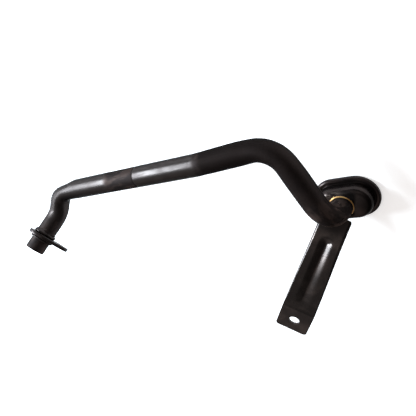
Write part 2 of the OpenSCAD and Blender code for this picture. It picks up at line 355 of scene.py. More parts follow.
def makePatchMask():
    group, tree, given = newGroup("patchMask", "ShaderNodeTree", {
        "Centre": (0.0, 0.0, 0.0), "Reach": (1.0, 1.0, 1.0), "Share": 1.0,
        "Streaky": 0.0, "Streak Size": (1.0, 1.0, 1.0),
    }, {"Mask": "Float"})
    place = tree.vector("SCALE", tree.objectPlace(), 1.0 / mm)
    away = tree.vector("DIVIDE", tree.vector("SUBTRACT", place, given["Centre"]), given["Reach"])
    near = tree.spread(tree.vector("LENGTH", away), patchLook["core"], 1.0, 1.0, 0.0)
    near = tree.math("MULTIPLY", near, given["Share"])
    streak = tree.noise(tree.vector("DIVIDE", place, given["Streak Size"]), 1.0, detail=3.0)
    gap = tree.math("SUBTRACT", tree.spread(streak, *patchLook["streakPeak"]), 1.0)
    left = tree.math("MULTIPLY_ADD", gap, given["Streaky"], 1.0)
    tree.add("NodeGroupOutput", {"Mask": tree.math("MULTIPLY", near, left)})
    return group


steelSkin = makeSteelSkin()
drawLines = makeDrawLines()
patchMask = makePatchMask()
blackened = {"fleck": 0.08, "gloss": 0.3, "metal": 0.85, "edge": 0.5}  # shared by the dark steel finishes
bumpDepth = 0.1 * mm


def startMaterial(name):
    material = bpy.data.materials.new(name)
    material.use_nodes = True
    return material, Tree(material.node_tree), material.node_tree.nodes["Principled BSDF"]


def placeSkin(tree, finish):
    skin = tree.add("ShaderNodeGroup", node_tree=steelSkin)
    for label, key in (("Dark", "dark"), ("Brown", "brown"), ("Patch Size", "patch"), ("Grain Size", "grain"),
                       ("Fleck", "fleck"), ("Rough", "rough"), ("Rough Spread", "spread")):
        skin.inputs[label].default_value = finish[key]
    return skin.outputs


def placePatch(tree, patch):
    inputs = {"Centre": patch["centre"], "Reach": patch["reach"], "Share": patch["share"]}
    if "streak" in patch:
        inputs.update({"Streaky": 1.0, "Streak Size": patch["streak"]})
    return tree.add("ShaderNodeGroup", inputs, node_tree=patchMask).outputs[0]


# an oxide skin reflects little, and less at its edges than bare metal does
def setMetal(shader, finish):
    shader.inputs["Metallic"].default_value = finish["metal"]
    shader.inputs["Specular IOR Level"].default_value = finish["gloss"]
    shader.inputs["Specular Tint"].default_value = rgb(finish["edge"], finish["edge"], finish["edge"])


def setBump(tree, shader, height, strength):
    bump = tree.add("ShaderNodeBump", {"Height": height, "Strength": strength, "Distance": bumpDepth})
    tree.feed(shader.inputs["Normal"], bump)


def steelMaterial(name, finish):
    material, tree, shader = startMaterial(name)
    skin = placeSkin(tree, finish)
    setMetal(shader, finish)
    color = skin["Color"]
    # a painted shade patch darkens the base colour
    if "paintedShade" in finish:
        color = tree.blendColor(placePatch(tree, finish["paintedShade"]), color, finish["paintedShade"]["color"])
    # a painted sheen patch lightens the base colour and is less metallic, so it shows as lit
    if "wearAndPaintedLight" in finish:
        paintedSheen = placePatch(tree, finish["wearAndPaintedLight"])
        color = tree.blendColor(paintedSheen, color, finish["wearAndPaintedLight"]["color"])
        metal = tree.math("MULTIPLY_ADD", paintedSheen, -finish["metal"], finish["metal"])
        tree.feed(shader.inputs["Metallic"], metal)
    tree.feed(shader.inputs["Base Color"], color)
    tree.feed(shader.inputs["Roughness"], skin["Roughness"])
    setBump(tree, shader, skin["Height"], finish["bump"])
    return material


# Camera: the photograph's own viewing point, worked out from the tube's runs and the bracket's hole
view = {
    "eye": (172.6, 272.6, 248.7),
    "right": (0.815, -0.404, -0.415),
    "up": (0.107, 0.809, -0.579),
    "lens": 39.93, "sensor": 36.0, "nearest": 10.0,
}


def makeCamera():
    data = bpy.data.cameras.new("photoCamera")
    data.lens = view["lens"]
    data.sensor_width = view["sensor"]
    data.clip_start = view["nearest"] * mm
    camera = addObject("photoCamera", data)
    right = unit(view["right"])
    up = unit(np.array(view["up"]) - np.dot(view["up"], right) * right)
    camera.matrix_world = poseOf(right, up, np.cross(right, up), Vector(view["eye"]) * mm)
    scene.camera = camera


makeCamera()


# Suction tube: a route of straight legs and bends, swept by nodes, its bends a little flattened
tube = {
    "radius": 9.5, "wall": 1.5, "sides": 80, "step": 1.5, "bendStep": 2.2,
    "mainRun": 167.0, "kinkRun": 70.0, "kinkAngle": 3.0, "crossRun": 81.0, "crossTurn": 78.0,
    "neckRun": 27.0, "neckAzimuth": -128.0, "neckRise": 19.0,
    "spigotRun": 43.0, "spigotAzimuth": -136.0, "spigotRise": 55.0,
    "stubDrop": 30.0, "reachIn": 5.0,
    "bendRadii": (26.0, 24.0, 60.0, 23.0, 27.0),
    # share of the radius that each bend loses on its outer and inner side, at its start and end
    "flatOuter": ((0.0, 0.0), (-0.2, 0.3), (0.0, 0.0), (0.13, 0.13), (0.08, 0.08)),
    "flatInner": ((0.0, 0.0), (0.32, 0.03), (0.0, 0.0), (0.05, 0.05), (0.03, 0.03)),
    "swell": (0.0, 0.05, 0.0, 0.03, 0.02), "flatFade": 13.0, "flatCore": 0.6,
    # spigot: rows of (distance from its end, set back), and beads of (height, how far out)
    "mouth": ((0.0, 0.25), (0.06, 0.12), (0.2, 0.02), (0.5, 0.0), (1.2, 0.0), (3.5, 0.0), (6.0, 0.0),
              (8.5, 0.0)), "boreEase": (0.35, 0.18, 0.05),
    "spigotPlain": 11.5, "lowerBead": (2.4, 2.0), "flangeGap": 3.6, "upperBead": (3.6, 1.7),
    "beadLead": 0.35, "beadSteps": 12, "beadFullness": 0.65,
    "beadTail": ((0.35, 0.2), (0.8, 0.07), (1.4, 0.0)), "beadTailTop": (0.97, 0.45), "profileGap": 0.6,
}
# what the bending dies, the heat and handling have left on the tube, by place or by length along it, with
# painted shade in the die ring and a painted highlight on the elbow
marks = {
    "straight": 0.5,
    "clampZone": (-139.0, -104.8), "clampStart": (-4.0, 4.0), "clampStop": (-0.8, 0.2), "clampSink": 0.12,
    "clampDull": 0.85, "clampSoot": 0.22,
    "ringWidth": 0.7, "ringSink": 0.22, "ringReach": 1.8, "ringStep": 0.3,
    "kinkAt": -34.4, "kinkWidth": 2.2, "kinkReach": 4.0, "kinkSink": 0.12, "kinkScuff": 0.8,
    "bareStop": (-7.0, -3.0), "spigotFade": (22.0, 40.0), "spigotBare": 0.5,
    "neckFade": (-12.0, -2.0), "neckBare": 0.86, "beadWidths": (1.2, 1.8),
    "elbowStart": (-6.0, 6.0), "elbowStop": (-6.0, 2.0), "elbowRubAndHighlight": 2.0,
    "spigotRubStop": (34.0, 48.0), "spigotRub": 0.8,
    "sootStart": (-2.0, 3.0), "sootStop": (-40.0, 0.0), "soot": 0.95,
}
tubeFinish = {
    **blackened, "edge": 0.3, "dark": rgb(0.0165, 0.0128, 0.0125), "brown": rgb(0.025, 0.0188, 0.0174),
    "patch": 34.0, "grain": 1.1, "rough": 0.56, "spread": 0.12, "bump": 0.07,
    "bareColor": rgb(0.0385, 0.0338, 0.0324), "barePeak": (0.3, 0.7), "bareLeast": 0.55,
    "bareRough": (0.15, 0.2),
    "rubColor": rgb(0.075, 0.053, 0.046), "rubPeak": (0.42, 0.62), "rubShare": 0.38, "rubRough": 0.1,
    "sootAndShadeColor": rgb(0.0055, 0.0035, 0.003), "sootShare": 0.8, "sootRough": 0.15,
    "lineRough": 0.14, "lineHeight": 0.5, "smearHeight": 2.5,
}
# the bracket's bolt hole, seen from the top of the tube's drop
seat = {"azimuth": -124.3, "reach": 87.0, "rise": 26.5}
zUp = np.array([0.0, 0.0, 1.0])
dropTop = -seat["reach"] * planDir(seat["azimuth"]) - seat["rise"] * zUp
cupTop = dropTop - tube["stubDrop"] * zUp
crossCorner = dropTop - tube["crossRun"] * planDir(tube["kinkAngle"] - tube["crossTurn"])
kinkCorner = crossCorner - tube["kinkRun"] * planDir(tube["kinkAngle"])
neckCorner = kinkCorner - tube["mainRun"] * planDir(0.0)
spigotCorner = neckCorner + tube["neckRun"] * riseDir(tube["neckAzimuth"], tube["neckRise"])
spigotAxis = riseDir(tube["spigotAzimuth"], tube["spigotRise"])
spigotEnd = spigotCorner + tube["spigotRun"] * spigotAxis
tubeEnd = cupTop - tube["reachIn"] * zUp


# stations along the route, as rows of (place, direction, length), and each bend's (start, end, axis)
def traceRoute(corners, radii):
    stations, bends = [], []
    here, run = corners[0], 0.0
    for i in range(1, len(corners)):
        ahead = unit(corners[i] - corners[i - 1])
        last = i == len(corners) - 1
        cut = 0.0
        if not last:
            after = unit(corners[i + 1] - corners[i])
            turn = math.acos(np.clip(np.dot(ahead, after), -1.0, 1.0))
            cut = radii[i - 1] * math.tan(turn / 2)
        stop = corners[i] - ahead * cut
        reach = np.linalg.norm(stop - here)
        count = max(1, int(math.ceil(reach / tube["step"])))
        for k in range(count + (1 if last else 0)):
            stations.append((here + ahead * (reach * k / count), ahead, run + reach * k / count))
        run += reach
        if last:
            break
        inward = unit(after - np.dot(after, ahead) * ahead)
        axis = np.cross(ahead, inward)
        centre = stop + inward * radii[i - 1]
        arc = turn * radii[i - 1]
        count = max(2, int(math.ceil(math.degrees(turn) / tube["bendStep"])))
        for k in range(count):
            a = turn * k / count
            out = -inward * math.cos(a) + ahead * math.sin(a)
            stations.append((centre + out * radii[i - 1], unit(np.cross(axis, out)), run + arc * k / count))
        bends.append((run, run + arc, axis))
        run += arc
        here = corners[i] + after * cut
    return stations, bends


# radius of the spigot by distance from its end: rounded mouth, lower bead, flange seat, upper bead
def spigotProfile():
    r = tube["radius"]
    rows = [(s, r - back) for s, back in tube["mouth"]]
    start = tube["spigotPlain"]
    for height, out in (tube["lowerBead"], tube["upperBead"]):
        rows.append((start - tube["beadLead"], r))
        for a in turnSteps(math.pi, tube["beadSteps"]):
            swell = out * max(0.0, math.sin(a)) ** tube["beadFullness"] if 0 < a < math.pi else 0.0
            rows.append((start + height / 2 - height / 2 * math.cos(a), r + swell))
        stop = start + height
        start = stop + tube["flangeGap"]
    # the upper bead runs out into the neck
    share, out = tube["beadTailTop"]
    rows[-1] = (stop - height * (1.0 - share), r + out)
    return rows + [(stop + s, r + out) for s, out in tube["beadTail"]]


# stations with the spigot's profile in place of the plain first stretch, and more where a die left a ring
def tubeStations():
    corners = [spigotEnd, spigotCorner, neckCorner, kinkCorner, crossCorner, dropTop, tubeEnd]
    stations, bends = traceRoute(corners, tube["bendRadii"])
    profile = spigotProfile()
    profileEnd = profile[-1][0]
    rows = [(spigotEnd - spigotAxis * s, -spigotAxis, s, r) for s, r in profile]
    rows += [(*row, tube["radius"]) for row in stations if row[2] > profileEnd + tube["profileGap"]]
    ringReach, ringStep = marks["ringReach"], marks["ringStep"]
    for offset in np.arange(-ringReach, ringReach + ringStep / 3, ringStep):
        x = marks["clampZone"][1] + offset
        k = next(i for i, row in enumerate(rows) if row[0][0] > x)
        before, after = rows[k - 1], rows[k]
        share = (x - before[0][0]) / (after[0][0] - before[0][0])
        place = before[0] + share * (after[0] - before[0])
        rows.insert(k, (place, after[1], before[2] + share * (after[2] - before[2]), after[3]))
    places, dirs, lengths, radius = (np.array(column) for column in zip(*rows))
    return places, dirs, lengths, radius, bends, profileEnd


# how much each station is pressed in or swollen by its bend, fading out into the straight legs
def bendPress(lengths, dirs, bends, profileEnd):
    count = len(lengths)
    press = {name: np.zeros(count) for name in ("flatOuter", "flatInner", "swell")}
    inward = np.zeros((count, 3))
    best = np.full(count, -1.0)
    far = tube["flatFade"]
    near = far * tube["flatCore"]
    for i, (start, end, axis) in enumerate(bends):
        outer, inner, swell = tube["flatOuter"][i], tube["flatInner"][i], tube["swell"][i]
        if not any(outer + inner):
            continue  # a plain bend
        weight = between(lengths, start, (-far, near), end, (-near, far))
        weight[lengths < profileEnd] = 0.0
        nearer = weight > best
        best = np.where(nearer, weight, best)
        share = smoothStep(lengths, start, end)
        for name, (first, last) in (("flatOuter", outer), ("flatInner", inner), ("swell", (swell, swell))):
            press[name] = np.where(nearer, weight * (first + (last - first) * share), press[name])
        turned = np.cross(np.tile(axis, (nearer.sum(), 1)), dirs[nearer])
        inward[nearer] = turned / np.linalg.norm(turned, axis=1, keepdims=True)
    return press, inward


# how deep the dies have sunk the wall, and where it is bare, scuffed or sooty, with painted shade in the die
# ring and a painted highlight on the elbow
def tubeMarks(places, lengths, bends):
    x = places[:, 0]
    onMain = np.abs(places[:, 1:] - neckCorner[1:]).max(axis=1) < marks["straight"]
    zoneStart, zoneEnd = marks["clampZone"]
    clamp = onMain * between(x, zoneStart, marks["clampStart"], zoneEnd, marks["clampStop"])
    ring = onMain * hump(x, zoneEnd, marks["ringWidth"])
    kinkSide = np.abs(places[:, 1] - kinkCorner[1]) < marks["kinkReach"]
    kink = kinkSide * hump(x, marks["kinkAt"], marks["kinkWidth"])
    kinkLength = lengths[np.argmin(np.where(onMain, np.abs(x - marks["kinkAt"]), np.inf))]
    sink = marks["clampSink"] * clamp + marks["ringSink"] * ring + marks["kinkSink"] * kink
    # bare from the spigot to the kink, and on the rubbed beads
    bare = (1.0 - fade(lengths, kinkLength, marks["bareStop"])) * (1.0 - marks["clampDull"] * clamp)
    bare *= marks["spigotBare"] + (1.0 - marks["spigotBare"]) * smoothStep(lengths, *marks["spigotFade"])
    bare *= marks["neckBare"] + (1.0 - marks["neckBare"]) * fade(x, zoneStart, marks["neckFade"])
    lowerEnd = tube["spigotPlain"] + tube["lowerBead"][0]
    lowerAt = lowerEnd - tube["lowerBead"][0] / 2
    upperAt = lowerEnd + tube["flangeGap"] + tube["upperBead"][0] / 2
    bead = np.maximum(*[hump(lengths, at, wide) for at, wide in zip((lowerAt, upperAt), marks["beadWidths"])])
    bare = np.maximum(bare, bead)
    elbowStart, elbowEnd = bends[-1][:2]
    # the elbow's lighter rub is partly real wear and partly a painted highlight
    elbow = between(lengths, elbowStart, marks["elbowStart"], elbowEnd, marks["elbowStop"])
    rub = marks["spigotRub"] * (1.0 - smoothStep(lengths, *marks["spigotRubStop"])) * (1.0 - bead)
    scuff = np.max([clamp, marks["kinkScuff"] * kink, marks["elbowRubAndHighlight"] * elbow, rub], axis=0)
    crossEnd = bends[-2][1]
    heat = between(lengths, kinkLength, marks["sootStart"], crossEnd, marks["sootStop"])
    # in the die ring the darkening is painted shade in its groove; elsewhere it is a sooty skin
    soot = np.max([ring, marks["clampSoot"] * clamp, marks["soot"] * heat], axis=0)
    return sink, {"bare": bare, "scuff": scuff, "soot": soot}


def makeTubeSweep():
    group, tree, given = newGroup("bentTubeSweep", "GeometryNodeTree", {
        "Route": "Geometry", "Sides": 64, "Finish": "Material"}, {"Tube": "Geometry"})

    def named(name, kind="FLOAT"):
        return tree.add("GeometryNodeInputNamedAttribute", {"Name": name}, data_type=kind).outputs[0]

    def place():
        return tree.add("GeometryNodeInputPosition").outputs[0]

    curve = tree.add("GeometryNodeMeshToCurve", {"Mesh": given["Route"]})
    ring = tree.add("GeometryNodeCurvePrimitiveCircle", {"Resolution": given["Sides"], "Radius": 1.0 * mm})
    ringPlace = tree.vector("SCALE", place(), 1.0 / mm)
    ring = tree.add("GeometryNodeStoreNamedAttribute",
                    {"Geometry": ring, "Name": "ringPlace", "Value": ringPlace},
                    data_type="FLOAT_VECTOR", domain="POINT")
    route = named("routePlace", "FLOAT_VECTOR")
    inward = named("inward", "FLOAT_VECTOR")

    # each point: out from the route by its radius, then pressed in along the bend's inward direction
    def sweptWall(radiusName):
        sweep = tree.add("GeometryNodeCurveToMesh", {"Curve": curve, "Profile Curve": ring})
        out = tree.vector("NORMALIZE", tree.vector("SUBTRACT", place(), route))
        out = tree.vector("SCALE", out, named(radiusName))
        depth = tree.vector("DOT_PRODUCT", out, inward)
        inner = tree.math("MULTIPLY", tree.math("MAXIMUM", depth, 0.0), named("flatInner"))
        outer = tree.math("MULTIPLY", tree.math("MINIMUM", depth, 0.0), named("flatOuter"))
        press = tree.vector("SCALE", inward, tree.math("ADD", inner, outer))
        across = tree.vector("SUBTRACT", out, tree.vector("SCALE", inward, depth))
        swell = tree.vector("SCALE", across, named("swell"))
        out = tree.vector("ADD", tree.vector("SUBTRACT", out, press), swell)
        moved = tree.vector("ADD", route, out)
        return tree.add("GeometryNodeSetPosition", {"Geometry": sweep, "Position": moved})

    bore = tree.add("GeometryNodeFlipFaces", {"Mesh": sweptWall("boreRadius")})
    tree.finish("Tube", tree.join([sweptWall("tubeRadius"), bore]), given["Finish"])
    return group


def makeTubeSteel():
    finish = tubeFinish
    material, tree, shader = startMaterial("tubeSteel")
    skin = placeSkin(tree, finish)
    setMetal(shader, finish)

    def mark(name, output="Fac"):
        return tree.add("ShaderNodeAttribute", attribute_name=name).outputs[output]

    scuff, soot = mark("scuff"), mark("soot")
    lines = tree.add("ShaderNodeGroup", {"Ring": mark("ringPlace", "Vector"), "Along": mark("along")},
                     node_tree=drawLines).outputs
    least = finish["bareLeast"]
    bare = tree.math("MULTIPLY_ADD", tree.spread(lines["Smear"], *finish["barePeak"]), 1.0 - least, least)
    bare = tree.math("MULTIPLY", mark("bare"), bare)
    color = tree.blendColor(bare, skin["Color"], finish["bareColor"])
    # scuffs lighten to a rub colour; on the elbow this is partly a painted highlight
    rub = tree.math("MULTIPLY", scuff, tree.spread(lines["Smear"], *finish["rubPeak"]))
    color = tree.blendColor(tree.math("MULTIPLY", rub, finish["rubShare"]), color, finish["rubColor"])
    # soot darkens the skin; in the die ring this is painted shade
    color = tree.blendColor(tree.math("MULTIPLY", soot, finish["sootShare"]), color, finish["sootAndShadeColor"])
    tree.feed(shader.inputs["Base Color"], color)
    line = tree.math("SUBTRACT", lines["Line"], 0.5)
    rough = tree.math("MULTIPLY_ADD", line, finish["lineRough"], skin["Roughness"])
    smooth, smeared = finish["bareRough"]
    drawn = tree.math("MULTIPLY_ADD", lines["Smear"], smeared, smooth)
    rough = tree.add("ShaderNodeMix", {0: bare, 2: rough, 3: drawn}).outputs[0]
    rough = tree.math("MULTIPLY_ADD", scuff, finish["rubRough"], rough)
    rough = tree.math("MULTIPLY_ADD", soot, finish["sootRough"], rough)
    tree.feed(shader.inputs["Roughness"], rough)
    height = tree.math("MULTIPLY_ADD", lines["Line"], finish["lineHeight"], skin["Height"])
    height = tree.math("MULTIPLY_ADD", lines["Smear"], finish["smearHeight"], height)
    setBump(tree, shader, height, finish["bump"])
    return material


# the wall and the bore are joined at both ends of the tube
def closeEnds(shape):
    for end in (spigotEnd, tubeEnd):
        rim = [edge for edge in shape.edges if edge.is_boundary
               and (edge.verts[0].co / mm - Vector(end)).length < 1.5 * tube["radius"]]
        bmesh.ops.bridge_loops(shape, edges=rim)
    bmesh.ops.recalc_face_normals(shape, faces=shape.faces)


def makeTube():
    places, dirs, lengths, radius, bends, profileEnd = tubeStations()
    press, inward = bendPress(lengths, dirs, bends, profileEnd)
    sink, wearAndPaintedLight = tubeMarks(places, lengths, bends)
    bore = np.full(len(places), tube["radius"] - tube["wall"])
    bore[:len(tube["boreEase"])] += tube["boreEase"]  # eased inner edge of the mouth
    piece = meshObject("suctionTube", places, [], [(i, i + 1) for i in range(len(places) - 1)])
    vectors = {"routePlace": places * mm, "inward": inward}
    sizes = {"tubeRadius": (radius - sink) * mm, "boreRadius": bore * mm, **press}
    for name, values in vectors.items():
        pointAttribute(piece.data, name, values, "FLOAT_VECTOR")
    for name, values in {**sizes, **wearAndPaintedLight, "along": lengths}.items():
        pointAttribute(piece.data, name, values)
    material = makeTubeSteel()
    addNodes(piece, makeTubeSweep(), {"Sides": tube["sides"], "Finish": material})
    makePlain(piece)
    reshape(piece, closeEnds)
    for name in (*vectors, *sizes):
        piece.data.attributes.remove(piece.data.attributes[name])
    dress(piece, material, "suction_tube", smooth=50.0)
    return piece


suctionTube = makeTube()


# Mounting flange: a plate with a round end about the spigot and a smaller one about the bolt hole
flange = {"thick": 3.6, "land": 5.7, "holeReach": 19.5, "holeRadius": 3.3, "endRadius": 8.2, "turn": -20.0,
          "edge": 0.55, "gap": 0.05, "landSteps": 64, "endSteps": 40, "boreSteps": 72, "holeSteps": 40}
flangeFinish = {**blackened, "dark": rgb(0.034, 0.0290, 0.0286), "brown": rgb(0.049, 0.0405, 0.0385),
                "patch": 16.0, "grain": 0.9, "rough": 0.34, "spread": 0.12, "bump": 0.12}


def flangeLoops():
    def arc(x, radius, angles):
        return [(x + radius * math.cos(a), radius * math.sin(a)) for a in angles]

    reach = flange["holeReach"]
    landRadius = tube["radius"] + flange["land"]
    lean = math.acos((landRadius - flange["endRadius"]) / reach)
    landTurn = [lean + a for a in turnSteps(2 * math.pi - 2 * lean, flange["landSteps"])]
    endTurn = [a - lean for a in turnSteps(2 * lean, flange["endSteps"])]
    outline = arc(0.0, landRadius, landTurn) + arc(reach, flange["endRadius"], endTurn)
    bore = arc(0.0, tube["radius"] + flange["gap"], turnSteps(2 * math.pi, flange["boreSteps"])[:-1])
    hole = arc(reach, flange["holeRadius"], turnSteps(2 * math.pi, flange["holeSteps"])[:-1])
    return outline, bore, hole


def makeFlange():
    shape = bmesh.new()
    edges = []
    for loop in flangeLoops():
        ring = [shape.verts.new((x * mm, y * mm, 0.0)) for x, y in loop]
        edges += [shape.edges.new((ring[k], ring[(k + 1) % len(ring)])) for k in range(len(ring))]
    bmesh.ops.triangle_fill(shape, use_beauty=True, use_dissolve=False, edges=edges, normal=(0, 0, 1))
    for face in shape.faces:
        if face.normal.z < 0:
            face.normal_flip()
    mesh = bpy.data.meshes.new("mountingFlange")
    shape.to_mesh(mesh)
    shape.free()
    side = unit(np.cross(zUp, spigotAxis))
    turn = math.radians(flange["turn"])
    tabDir = math.cos(turn) * side + math.sin(turn) * np.cross(spigotAxis, side)
    top = spigotEnd - spigotAxis * (tube["spigotPlain"] + tube["lowerBead"][0])
    mesh.transform(poseOf(tabDir, np.cross(spigotAxis, tabDir), spigotAxis, Vector(top) * mm))
    piece = addObject("mountingFlange", mesh)
    sheetThickness(piece, flange["thick"])
    softEdges(piece, flange["edge"], segments=3, angle=40.0)
    makePlain(piece)
    dress(piece, steelMaterial("flangeSteel", flangeFinish), "mounting_flange", smooth=38.0)


makeFlange()


# Pickup cup: a slot-shaped pressing with a rolled shoulder and a turned-out rim
cup = {"length": 54.5, "width": 38.0, "offset": 1.8, "height": 12.5, "thick": 1.2, "rim": 4.6,
       "shoulder": 4.5, "root": 0.55, "frameThick": 0.9, "gap": 0.05, "arcSteps": 40, "sideSteps": 14,
       "topSteps": 5, "shoulderSteps": 14, "wallSteps": 4, "rootSteps": 9, "rimSteps": 3}
# painted sheen beside the tube, less metallic and broken into streaks like scratches, and painted shade on
# the far shoulder
cupFinish = {
    **blackened, "dark": rgb(0.0245, 0.0202, 0.0198), "brown": rgb(0.037, 0.0292, 0.0272),
    "patch": 18.0, "grain": 1.0, "fleck": 0.1, "rough": 0.23, "spread": 0.1, "bump": 0.1,
    # painted sheen: a lighter colour where the shoulder and flat top catch light beside the tube
    "wearAndPaintedLight": {"centre": (44.0, 82.5, -57.0), "reach": (15.0, 5.0, 4.0), "share": 0.6,
             "streak": (6.0, 0.9, 2.0), "color": rgb(0.15, 0.120, 0.104)},
    # painted shade: the far shoulder made darker
    "paintedShade": {"centre": (72.0, 68.0, -58.0), "reach": (11.0, 15.0, 8.0), "share": 0.9,
              "color": rgb(0.006, 0.005, 0.0046)},
}
rimRadius = cup["width"] / 2
halfStraight = (cup["length"] - cup["width"]) / 2
wallRadius = rimRadius - cup["rim"]
rimEdge = rimRadius - cup["frameThick"] - cup["gap"]  # the rim ends inside the strainer's frame
cupCentre = cupTop + np.array([cup["offset"], 0.0, 0.0])


# (spine point, outward direction) round the slot outline
def slotOutline():
    rows = []
    for side in (0, 1):
        start = -math.pi / 2 + side * math.pi
        sign = 1 - 2 * side
        for a in turnSteps(math.pi, cup["arcSteps"])[:-1]:
            out = np.array([math.cos(start + a), math.sin(start + a)])
            rows.append((np.array([sign * halfStraight, 0.0]), out))
        for k in range(cup["sideSteps"]):
            x = sign * halfStraight * (1.0 - 2.0 * k / cup["sideSteps"])
            rows.append((np.array([x, 0.0]), np.array([0.0, float(sign)])))
    return rows


slotRows = slotOutline()


def slotRing(radius, z):
    return [cupCentre + np.array([*(spine + radius * out), z]) for spine, out in slotRows]


# the flat top, from the hole about the tube to the shoulder
def cupTopRings(flatRadius):
    offset = np.array([cup["offset"], 0.0])
    holeRadius = tube["radius"] + cup["gap"]
    rings = []
    for k in range(cup["topSteps"]):
        t = k / cup["topSteps"]
        ring = []
        for spine, out in slotRows:
            edge = spine + flatRadius * out
            hole = unit(edge + offset) * holeRadius - offset
            ring.append(cupCentre + np.array([*((1 - t) * hole + t * edge), 0.0]))
        rings.append(ring)
    return rings


def makeCup(material):
    shoulder, root = cup["shoulder"], cup["root"]
    flatRadius = wallRadius - shoulder
    rings = cupTopRings(flatRadius)
    for a in turnSteps(math.pi / 2, cup["shoulderSteps"]):
        rings.append(slotRing(flatRadius + shoulder * math.sin(a), -shoulder * (1 - math.cos(a))))
    floor = -cup["height"] + cup["thick"]
    for k in range(1, cup["wallSteps"]):
        rings.append(slotRing(wallRadius, -shoulder + (floor + root + shoulder) * k / cup["wallSteps"]))
    for a in turnSteps(math.pi / 2, cup["rootSteps"]):
        rings.append(slotRing(wallRadius + root * (1 - math.cos(a)), floor + root * (1 - math.sin(a))))
    inner = wallRadius + root
    for k in range(1, cup["rimSteps"] + 1):
        rings.append(slotRing(inner + (rimEdge - inner) * k / cup["rimSteps"], floor))
    piece = ringsObject("pickupCup", rings, ringFaces(rings))
    sheetUp(piece)
    sheetThickness(piece, cup["thick"])
    makePlain(piece)
    dress(piece, material, "pickup_cup", smooth=45.0)


cupSteel = steelMaterial("cupSteel", cupFinish)
makeCup(cupSteel)


# Strainer frame: a channel crimped over the cup's rim, with an edge under the screen
strainer = {"lip": 4.0, "edge": 7.0, "screen": 1.0, "round": 0.85, "lipRound": 0.3, "lipEdge": 0.3,
            "crown": 1.9, "riseSteps": 6, "crownSteps": 9, "cornerSteps": 5}


# corners of (x, z, radius), with the round ones turned into arcs
def roundedLoop(corners):
    loop = []
    for i, (x, z, r) in enumerate(corners):
        here = np.array([x, z])
        if r == 0.0:
            loop.append(here)
            continue
        before = unit(np.array(corners[i - 1][:2]) - here)
        after = unit(np.array(corners[(i + 1) % len(corners)][:2]) - here)
        centre = here + (before + after) * r
        for a in turnSteps(math.pi / 2, strainer["cornerSteps"]):
            loop.append(centre - after * r * math.cos(a) - before * r * math.sin(a))
    return loop


def frameSection():
    thick, lipEdge, crown = cup["frameThick"], strainer["lipEdge"], strainer["crown"]
    lipLow = -cup["height"] + cup["thick"] + cup["gap"]
    low = -cup["height"] - strainer["screen"] - thick
    inner = rimRadius - strainer["edge"]
    lipIn = rimRadius - strainer["lip"]
    crest = rimRadius - crown
    # the lip is crowned: it rises from its inner edge and turns over into the outer wall
    lip = [(lipIn, lipLow, 0.0)]
    for a in turnSteps(math.pi / 2, strainer["riseSteps"]):
        z = lipLow + lipEdge + (thick - lipEdge) * math.sin(a)
        lip.append((crest - (crest - lipIn) * math.cos(a), z, 0.0))
    for a in turnSteps(math.pi / 2, strainer["crownSteps"])[1:]:
        lip.append((crest + crown * math.sin(a), lipLow + thick - crown * (1.0 - math.cos(a)), 0.0))
    return roundedLoop(lip + [
        (rimRadius, low, strainer["round"]), (inner, low, strainer["lipRound"]), (inner, low + thick, 0.0),
        (rimRadius - thick, low + thick, 0.0), (rimRadius - thick, lipLow, 0.0)])


def makeStrainerFrame(material):
    rings = [slotRing(radius, z) for radius, z in frameSection()]
    piece = ringsObject("strainerFrame", rings, ringFaces(rings, closed=True))
    facesOutward(piece)
    dress(piece, material, "strainer_frame", smooth=42.0)


makeStrainerFrame(cupSteel)


# Woven screen: two sets of wires made by nodes, each clipped to the slot outline
weave = {"pitch": 1.8, "wireRadius": 0.26, "lift": 0.23, "inset": 0.2, "waveSteps": 6.0, "wireSides": 7}
screenFinish = {"dark": rgb(0.09, 0.085, 0.078), "brown": rgb(0.17, 0.15, 0.125), "patch": 9.0, "grain": 0.5,
                "fleck": 0.2, "rough": 0.34, "spread": 0.15, "bump": 0.08, "gloss": 0.5, "metal": 0.75,
                "edge": 0.7}


